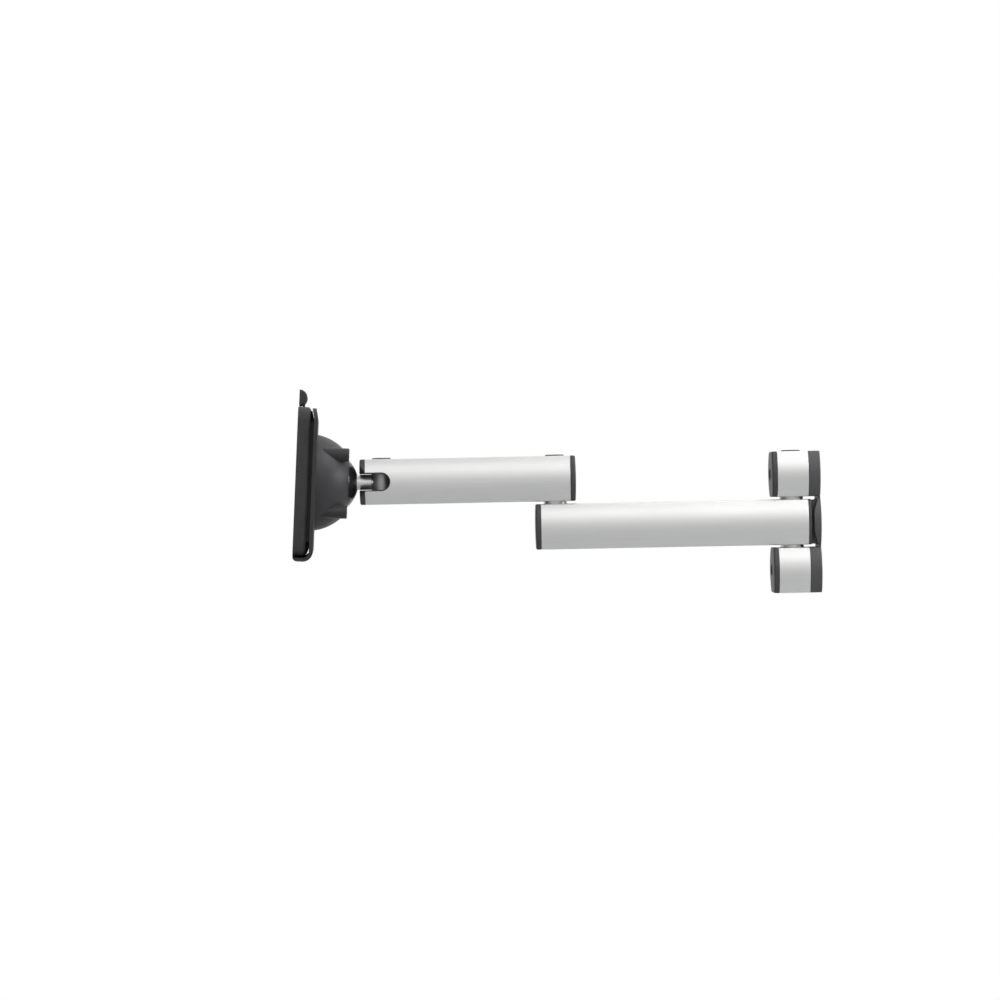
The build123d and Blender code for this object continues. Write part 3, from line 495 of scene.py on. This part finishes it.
@dataclass(frozen=True)
class TurnedMetal:
    """Metal turned on a lathe, with fine rings about its axis, and a painted highlight along its
    edges.
    """

    name: str
    colour: Colour
    roughness: float
    axis: str = "Z"
    centre: Triple = ORIGIN
    pitch_mm: float = 0.25
    depth_mm: float = 0.002
    rough_spread: Band = (-0.04, 0.06)
    cloud_mm: float = 5.0
    cloud_shade: float = 0.82
    cloud_spread: Band = (-0.03, 0.05)
    edge_mm: float = 0.25
    # Lighter colour on the edges: a painted edge highlight
    edge_shade: float = 1.15

    def material(self) -> bpy.types.Material:
        """Build the material."""
        graph = Graph(self.name)
        rings = graph.rings(self.pitch_mm, self.axis, self.centre)
        cloud = graph.noise(self.cloud_mm, detail=3.0)
        normal, edge = graph.edges(self.edge_mm)
        deep = shade(self.colour, self.cloud_shade)
        tone = graph.blend(graph.span(cloud, NOISE_MIDDLE), deep, self.colour)
        rough = graph.around(rings, self.roughness, self.rough_spread, WHOLE)
        graph.set(
            # Edges painted lighter: a painted highlight
            Base_Color=graph.blend(edge, tone, shade(self.colour, self.edge_shade)),
            Metallic=1.0,
            Roughness=graph.join(rough, graph.span(cloud, NOISE_MIDDLE, *self.cloud_spread)),
            Normal=graph.relief(rings, self.depth_mm, normal),
        )
        return graph.material


class Surface(Enum):
    """The finishes of the arm, under the names of the record's slots, and two brighter steels;
    the rod's steel is brightened as a painted highlight.
    """

    satin_aluminium = SatinAluminium("satin_aluminium", (0.80, 0.80, 0.795), 0.40)
    cast_insert = PowderCoat(
        "cast_insert", (0.36, 0.36, 0.36), 0.55, peel_mm=0.8, depth_mm=0.04
    )
    dark_cap = GrainedPlastic("dark_cap", (0.060, 0.060, 0.062), 0.48)
    dark_pad = PowderCoat("dark_pad", (0.070, 0.070, 0.072), 0.46, gloss=0.5)
    black_ball = PolishedBlack("black_ball", (0.011, 0.011, 0.012), 0.19)
    housing_grey = PowderCoat("housing_grey", (0.036, 0.036, 0.038), 0.44, peel_mm=0.9)
    tray_grey = PowderCoat("tray_grey", (0.034, 0.034, 0.036), 0.48)
    adapter_grey = GrainedPlastic("adapter_grey", (0.041, 0.041, 0.042), 0.56)
    steel = TurnedMetal("steel", (0.64, 0.64, 0.64), 0.38)
    # A much brighter copy of the steel for the rod: its brightness is a painted highlight
    rod_steel = TurnedMetal("rod_steel", (0.95, 0.95, 0.95), 0.38, "X", (-0.36, 0.0, 0.037))
    washer_steel = TurnedMetal("washer_steel", (0.70, 0.70, 0.70), 0.20)
    barrel_steel = TurnedMetal("barrel_steel", (0.52, 0.52, 0.52), 0.52)
    screw_black = PowderCoat(
        "screw_black", (0.030, 0.030, 0.032), 0.40, peel_mm=0.5, depth_mm=0.01, edge_mm=0.2
    )
    spring_steel = TurnedMetal("spring_steel", (0.48, 0.48, 0.47), 0.30)
    bearing = TurnedMetal("bearing", (0.62, 0.43, 0.20), 0.32)
    seat_polymer = GrainedPlastic("seat_polymer", (0.19, 0.19, 0.19), 0.45)


class Wardrobe:
    """Makes each finish once and hands it out."""

    OWN: dict[str, Surface] = {
        # The rod takes the brighter steel, a painted highlight
        "ball_rod": Surface.rod_steel,
        "shoulder_washers": Surface.washer_steel,
        "elbow_washer": Surface.washer_steel,
        "release_knob": Surface.adapter_grey,
    }

    def __init__(self, frame: dict) -> None:
        """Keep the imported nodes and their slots.
        """
        self.nodes: dict[str, bpy.types.Object] = frame["nodes"]
        self.slots = {s["node"]: s["material_slot"] for s in frame["record"]["subparts"]}
        self.made: dict[Surface, bpy.types.Material] = {}

    def material(self, surface: Surface) -> bpy.types.Material:
        """The material of a finish, made when first asked for."""
        if surface not in self.made:
            self.made[surface] = surface.value.material()
        return self.made[surface]

    def dress(self, node: str) -> None:
        """Give a CAD node its own finish, or else the finish of its slot.

        Args:
            node: Name of the node.
        """
        mesh = self.nodes[node].data
        mesh.materials.clear()
        mesh.materials.append(self.material(self.OWN.get(node) or Surface[self.slots[node]]))

    def piece(
        self, mesh: bmesh.types.BMesh, name: str, surface: Surface, body: str
    ) -> bpy.types.Object:
        """Turn a finished bmesh into a piece that rides on a body.

        Args:
            mesh: The shape, in place.
            name: Name of the piece.
            surface: Its finish.
            body: Body that it rides on.

        Returns:
            The piece.
        """
        bmesh.ops.remove_doubles(mesh, verts=mesh.verts, dist=MERGE_DISTANCE)
        bmesh.ops.recalc_face_normals(mesh, faces=mesh.faces)
        data = bpy.data.meshes.new(name)
        mesh.to_mesh(data)
        mesh.free()
        data.polygons.foreach_set("use_smooth", [True] * len(data.polygons))
        data.set_sharp_from_angle(angle=SHARP_ANGLE)
        data.materials.append(self.material(surface))
        piece = bpy.data.objects.new(name, data)
        bpy.context.scene.collection.objects.link(piece)
        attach(piece, body)
        LOG.info("piece %s: %d faces", name, len(data.polygons))
        return piece


@dataclass
class PinDiscs:
    """Thin discs that close the upright pivot holes: a raised rim around a shallow dish."""

    radius: float = 7.25
    height: float = 1.0
    dish: float = 0.22
    stem_radius: float = 6.3
    stem: float = 2.2
    steps: int = 64

    def profile(self) -> list[tuple[float, float]]:
        """Radius and height along the half section, from the middle of the top to the foot."""
        r, h = self.radius, self.height
        return [
            (0.0, h - self.dish),
            (r - 2.6, h - self.dish),
            (r - 2.25, h - 0.16),
            (r - 1.95, h - 0.02),
            (r - 1.6, h),
            (r - 0.6, h),
            (r - 0.28, h - 0.07),
            (r - 0.08, h - 0.25),
            (r, h - 0.5),
            (r, 0.0),
            (self.stem_radius, 0.0),
            (self.stem_radius, -self.stem),
            (0.0, -self.stem),
        ]

    def turn(self, mesh: bmesh.types.BMesh, x: float, z: float) -> None:
        """Spin one disc and stand it on an upright axis.

        Args:
            mesh: Mesh that takes the disc.
            x: Place along the arm in millimetres.
            z: Height of the surface that it lies on in millimetres.
        """
        others = set(mesh.verts)
        points = [mesh.verts.new((r * MM, 0.0, h * MM)) for r, h in self.profile()]
        edges = [mesh.edges.new(pair) for pair in zip(points, points[1:])]
        bmesh.ops.spin(
            mesh,
            geom=points + edges,
            cent=ORIGIN,
            axis=UPWARD,
            angle=FULL_TURN,
            steps=self.steps,
            use_merge=True,
        )
        disc = [v for v in mesh.verts if v not in others]
        bmesh.ops.transform(mesh, matrix=Matrix.Translation((x * MM, 0.0, z * MM)), verts=disc)

    def build(self, wardrobe: Wardrobe, node: str, body: str, places: list[Band]) -> None:
        """Model the discs of one node and let them stand for it.

        Args:
            wardrobe: Finishes.
            node: CAD node that they replace.
            body: Body that they ride on.
            places: Place along the arm and height of each disc in millimetres.
        """
        mesh = bmesh.new()
        for x, z in places:
            self.turn(mesh, x, z)
        piece = wardrobe.piece(mesh, f"{node}_discs", Surface.dark_cap, body)
        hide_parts(node)


@dataclass
class LatchSpring:
    """Coil spring around the latch's stem, closed at both ends."""

    foot: Triple = (-396.9123, -1.1896, 50.0890)
    top: Triple = (-395.9426, -1.1218, 66.4508)
    radius: float = 2.55
    wire: float = 0.7
    wire_sides: int = 12
    closed_turns: float = 0.8
    closed_pitch: float = 0.74
    open_turns: float = 4.4
    steps_a_turn: int = 20
    travel: float = 6.0

    def coil(self, length: float) -> bmesh.types.BMesh:
        """Wind the wire about the local Z axis, from its foot up.

        Args:
            length: Length of the spring in metres.

        Returns:
            The closed coil.
        """
        wire_radius = self.wire / 2 * MM
        closed = self.closed_turns * self.closed_pitch * MM
        opened = length - self.wire * MM - 2.0 * closed
        end_run, open_run = (self.closed_turns, closed), (self.open_turns, opened)
        start = Matrix.Translation((self.radius * MM, 0.0, wire_radius))
        start = start @ Matrix.Rotation(math.pi / 2, 4, "X")
        mesh = bmesh.new()
        bmesh.ops.create_circle(mesh, segments=self.wire_sides, radius=wire_radius, matrix=start)
        end = list(mesh.verts) + list(mesh.edges)
        for turns, rise in (end_run, open_run, end_run):
            steps = round(turns * self.steps_a_turn)
            end = bmesh.ops.spin(
                mesh,
                geom=end,
                cent=ORIGIN,
                axis=UPWARD,
                dvec=(0.0, 0.0, rise / steps),
                angle=FULL_TURN * turns,
                steps=steps,
            )["geom_last"]
        bmesh.ops.holes_fill(mesh, edges=[e for e in mesh.edges if e.is_boundary])
        return mesh

    def build(self, wardrobe: Wardrobe) -> None:
        """Model the spring and let it stand for its node.

        Args:
            wardrobe: Finishes.
        """
        foot, top = Vector(self.foot) * MM, Vector(self.top) * MM
        axis = top - foot
        mesh = self.coil(axis.length)
        place = Matrix.Translation(foot) @ axis.to_track_quat("Z", "Y").to_matrix().to_4x4()
        bmesh.ops.transform(mesh, matrix=place, verts=mesh.verts)
        piece = wardrobe.piece(mesh, "latch_spring_coil", Surface.spring_steel, "head")
        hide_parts("latch_spring")
        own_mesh(piece)


@dataclass
class SubAssembly:
    """CAD nodes that belong together, with the pieces that are added to them."""

    nodes: tuple[str, ...] = ()

    def dress(self, wardrobe: Wardrobe) -> None:
        """Give every node its finish."""
        for node in self.nodes:
            wardrobe.dress(node)

    def build(self, wardrobe: Wardrobe) -> None:
        """Add the pieces that the CAD nodes lack: none, unless a sub-assembly says otherwise."""


@dataclass
class Bracket(SubAssembly):
    """Two blocks of the profile that hold the shoulder pin above and below the lower arm."""

    nodes: tuple[str, ...] = (
        "mount_pad_upper",
        "bracket_block_upper",
        "block_core_upper",
        "front_cap_upper",
        "mount_pad_lower",
        "bracket_block_lower",
        "block_core_lower",
        "front_cap_lower",
        "mount_spacer",
        "block_screws",
        "friction_screws",
        "shoulder_pin",
        "shoulder_pin_cap",
    )
    shoulder_x: float = -21.2
    top: float = 54.5

    def build(self, wardrobe: Wardrobe) -> None:
        """Add the pin disc on the upper block."""
        places = [(self.shoulder_x, self.top)]
        PinDiscs().build(wardrobe, "shoulder_pin_cap", "bracket", places)


@dataclass
class LowerArm(SubAssembly):
    """The arm between shoulder and elbow."""

    nodes: tuple[str, ...] = (
        "lower_arm_tube",
        "shoulder_hub",
        "shoulder_bushes",
        "shoulder_washers",
        "nose_cap",
        "lower_arm_cap",
        "elbow_hub_lower",
        "elbow_pin",
        "elbow_screw",
    )


@dataclass
class UpperArm(SubAssembly):
    """The arm between elbow and wrist, with its slotted end."""

    nodes: tuple[str, ...] = (
        "upper_arm_tube",
        "elbow_hub_upper",
        "elbow_bushes",
        "elbow_washer",
        "elbow_disc_springs",
        "upper_arm_cap",
        "wrist_cage_upper",
        "wrist_cage_lower",
        "wrist_pin",
        "wrist_nut",
        "upper_arm_pin_caps",
    )
    elbow_x: float = -203.5
    wrist_x: float = -337.2
    top: float = 54.5

    def build(self, wardrobe: Wardrobe) -> None:
        """Add the pin discs over elbow and wrist."""
        places = [(self.elbow_x, self.top), (self.wrist_x, self.top)]
        PinDiscs().build(wardrobe, "upper_arm_pin_caps", "upper_arm", places)


@dataclass
class BallJoint(SubAssembly):
    """Barrel, rod and ball, with the two seats that hold the ball."""

    nodes: tuple[str, ...] = (
        "wrist_barrel",
        "ball_rod",
        "ball",
        "ball_seat_ring",
        "inner_seat",
    )


@dataclass
class Head(SubAssembly):
    """Domed housing, receiver tray, adapter plate and the release latch."""

    nodes: tuple[str, ...] = (
        "ball_housing",
        "housing_screws",
        "seat_springs",
        "receiver_tray",
        "adapter_plate",
        "latch_spring",
        "release_latch",
        "release_knob",
    )

    def build(self, wardrobe: Wardrobe) -> None:
        """Add the latch's spring."""
        LatchSpring().build(wardrobe)


@dataclass(frozen=True)
class Lamp:
    """Soft rectangular lamp: place and target in metres, size in metres, power in watts."""

    name: str
    place: Triple
    target: Triple
    size: Band
    power: float
    mirrored: bool = True

    def build(self) -> None:
        """Hang the lamp, which glossy surfaces show only where it is mirrored."""
        data = bpy.data.lights.new(self.name, "AREA")
        data.shape = "RECTANGLE"
        data.size, data.size_y = self.size
        data.energy = self.power
        lamp = bpy.data.objects.new(self.name, data)
        lamp.location = self.place
        lamp.rotation_mode = "QUATERNION"
        aim = Vector(self.target) - Vector(self.place)
        lamp.rotation_quaternion = aim.to_track_quat("-Z", "Y")
        lamp.visible_glossy = self.mirrored
        bpy.context.scene.collection.objects.link(lamp)


@dataclass
class Studio:
    """Pale floor, white surroundings, soft lamps and the camera.

    The floor's bands are distances in metres, and the others are parts of a ray's unit direction:
    upwards for sky and ceiling, away from the camera for back, and along the arm for side.
    """

    floor_z: float = -0.80
    floor_size: float = 80.0
    floor_grey: Colour = (0.62, 0.62, 0.62)
    floor_roughness: float = 0.9
    floor_back: Band = (0.6, 1.4)
    floor_far: Band = (1.2, 2.0)
    front_grey: Colour = (0.58, 0.58, 0.58)
    side_grey: Colour = (0.13, 0.13, 0.13)
    ceiling_grey: Colour = (0.40, 0.40, 0.40)
    sky_band: Band = (0.0, 0.30)
    back_band: Band = (0.5, 0.9)
    side_band: Band = (0.45, 0.85)
    ceiling_band: Band = (0.64, 0.90)
    plain_tint: Colour = (0.95, 0.97, 1.0)
    plain_light: float = 0.38
    camera_place: Triple = (-0.2462, -1.874, 0.0213)
    camera_roll: float = 1.12
    camera_clip: Band = (0.05, 60.0)
    sensor: float = 36.0
    lens: float = 87.3
    lamps: tuple[Lamp, ...] = (
        Lamp("right_lamp", (0.62, -0.25, 1.20), (-0.05, 0.0, 0.0), (0.9, 0.7), 7.5),
        Lamp("top_lamp", (0.10, 0.15, 1.55), ORIGIN, (2.2, 1.5), 7.0),
        Lamp("front_lamp", (1.15, -1.50, 1.05), (0.05, 0.0, 0.0), (0.8, 0.8), 14.0, False),
        Lamp("side_lamp", (1.95, -0.28, 0.55), (-0.1, 0.0, 0.0), (0.8, 0.8), 19.0),
        Lamp("brow_lamp", (0.25, -1.45, 1.10), (-0.15, 0.0, 0.0), (1.2, 0.7), 1.9),
        Lamp("left_lamp", (-1.0, -0.8, 0.75), (-0.36, 0.0, 0.07), (0.9, 0.9), 0.6),
    )

    def floor(self) -> None:
        """Lay the pale floor."""
        mesh = bmesh.new()
        bmesh.ops.create_grid(mesh, x_segments=8, y_segments=8, size=self.floor_size / 2)
        bmesh.ops.translate(mesh, vec=(0.0, 0.0, self.floor_z), verts=mesh.verts)
        data = bpy.data.meshes.new("floor")
        mesh.to_mesh(data)
        mesh.free()
        floor = bpy.data.objects.new("floor", data)
        bpy.context.scene.collection.objects.link(floor)
        data.materials.append(self.floor_material())

    def floor_material(self) -> bpy.types.Material:
        """Plain near the object; far off white to the eye, and grey before it in reflections."""
        graph = Graph("floor")
        graph.set(Base_Color=self.floor_grey, Roughness=self.floor_roughness)
        place = graph.new("SeparateXYZ")
        graph.link(graph.object_space, place.inputs[0])
        behind = graph.span(place.outputs["Y"], self.floor_back)
        eye = graph.new("LightPath").outputs["Is Camera Ray"]
        pale = graph.join(behind, eye, "MAXIMUM")
        glow = graph.new("Emission")
        graph.link(graph.blend(pale, self.front_grey, WHITE), glow.inputs["Color"])
        length = graph.new("VectorMath")
        length.operation = "LENGTH"
        graph.link(graph.object_space, length.inputs[0])
        far = graph.span(length.outputs["Value"], self.floor_far)
        mix = graph.new("MixShader")
        graph.link(graph.join(far, graph.seen_rays(), "MULTIPLY"), mix.inputs[0])
        graph.link(graph.surface.outputs["BSDF"], mix.inputs[1])
        graph.link(glow.outputs["Emission"], mix.inputs[2])
        graph.link(mix.outputs["Shader"], graph.output.inputs["Surface"])
        return graph.material

    def world(self) -> None:
        """White surroundings for the eye and for reflections, softer for plain light."""
        world = bpy.data.worlds.new("studio")
        bpy.context.scene.world = world
        world.use_nodes = True
        nodes = Nodes(world.node_tree)
        plain, seen = nodes.new("Background"), nodes.new("Background")
        nodes.feed(plain.inputs["Color"], self.plain_tint)
        nodes.feed(plain.inputs["Strength"], self.plain_light)
        nodes.feed(seen.inputs["Color"], self.sky(nodes))
        nodes.feed(seen.inputs["Strength"], 1.0)
        mix = nodes.new("MixShader")
        nodes.link(nodes.seen_rays(), mix.inputs[0])
        nodes.link(plain.outputs["Background"], mix.inputs[1])
        nodes.link(seen.outputs["Background"], mix.inputs[2])
        nodes.link(mix.outputs["Shader"], nodes.new("OutputWorld").inputs["Surface"])

    def sky(self, nodes: Nodes) -> Socket:
        """White for the eye and behind; reflections grey before, beside and over the object.

        Args:
            nodes: Node tree of the world.

        Returns:
            The colour.
        """
        place = nodes.new("SeparateXYZ")
        nodes.link(nodes.new("TexCoord").outputs["Generated"], place.inputs[0])
        x, y, z = (place.outputs[axis] for axis in "XYZ")
        eye = nodes.new("LightPath").outputs["Is Camera Ray"]
        white = nodes.join(eye, nodes.span(y, self.back_band), "MAXIMUM")
        high = nodes.join(white, nodes.span(z, self.sky_band), "MAXIMUM")
        beside = nodes.span(nodes.join(x, 0.0, "ABSOLUTE"), self.side_band)
        overhead = nodes.span(z, self.ceiling_band)
        colour = nodes.blend(high, self.front_grey, WHITE)
        colour = nodes.blend(nodes.join(beside, white, "SUBTRACT"), colour, self.side_grey)
        return nodes.blend(nodes.join(overhead, eye, "SUBTRACT"), colour, self.ceiling_grey)

    def camera(self) -> None:
        """Camera at the photograph's angle."""
        data = bpy.data.cameras.new("camera")
        data.sensor_width = self.sensor
        data.lens = self.lens
        data.clip_start, data.clip_end = self.camera_clip
        camera = bpy.data.objects.new("camera", data)
        camera.location = self.camera_place
        camera.rotation_euler = (math.pi / 2, math.radians(self.camera_roll), 0.0)
        bpy.context.scene.collection.objects.link(camera)
        bpy.context.scene.camera = camera

    def build(self) -> None:
        """Set up the whole studio."""
        bpy.context.scene.view_settings.view_transform = "Standard"
        self.floor()
        self.world()
        for lamp in self.lamps:
            lamp.build()
        self.camera()


def main() -> None:
    """Load the frame, dress and complete each sub-assembly, and set up the studio."""
    logging.basicConfig(level=logging.INFO, format="%(message)s")
    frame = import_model()
    wardrobe = Wardrobe(frame)
    for assembly in (Bracket(), LowerArm(), UpperArm(), BallJoint(), Head()):
        assembly.dress(wardrobe)
        assembly.build(wardrobe)
        LOG.info("assembly %s: %d nodes", type(assembly).__name__, len(assembly.nodes))
    Studio().build()


if __name__ == "__main__":
    main()
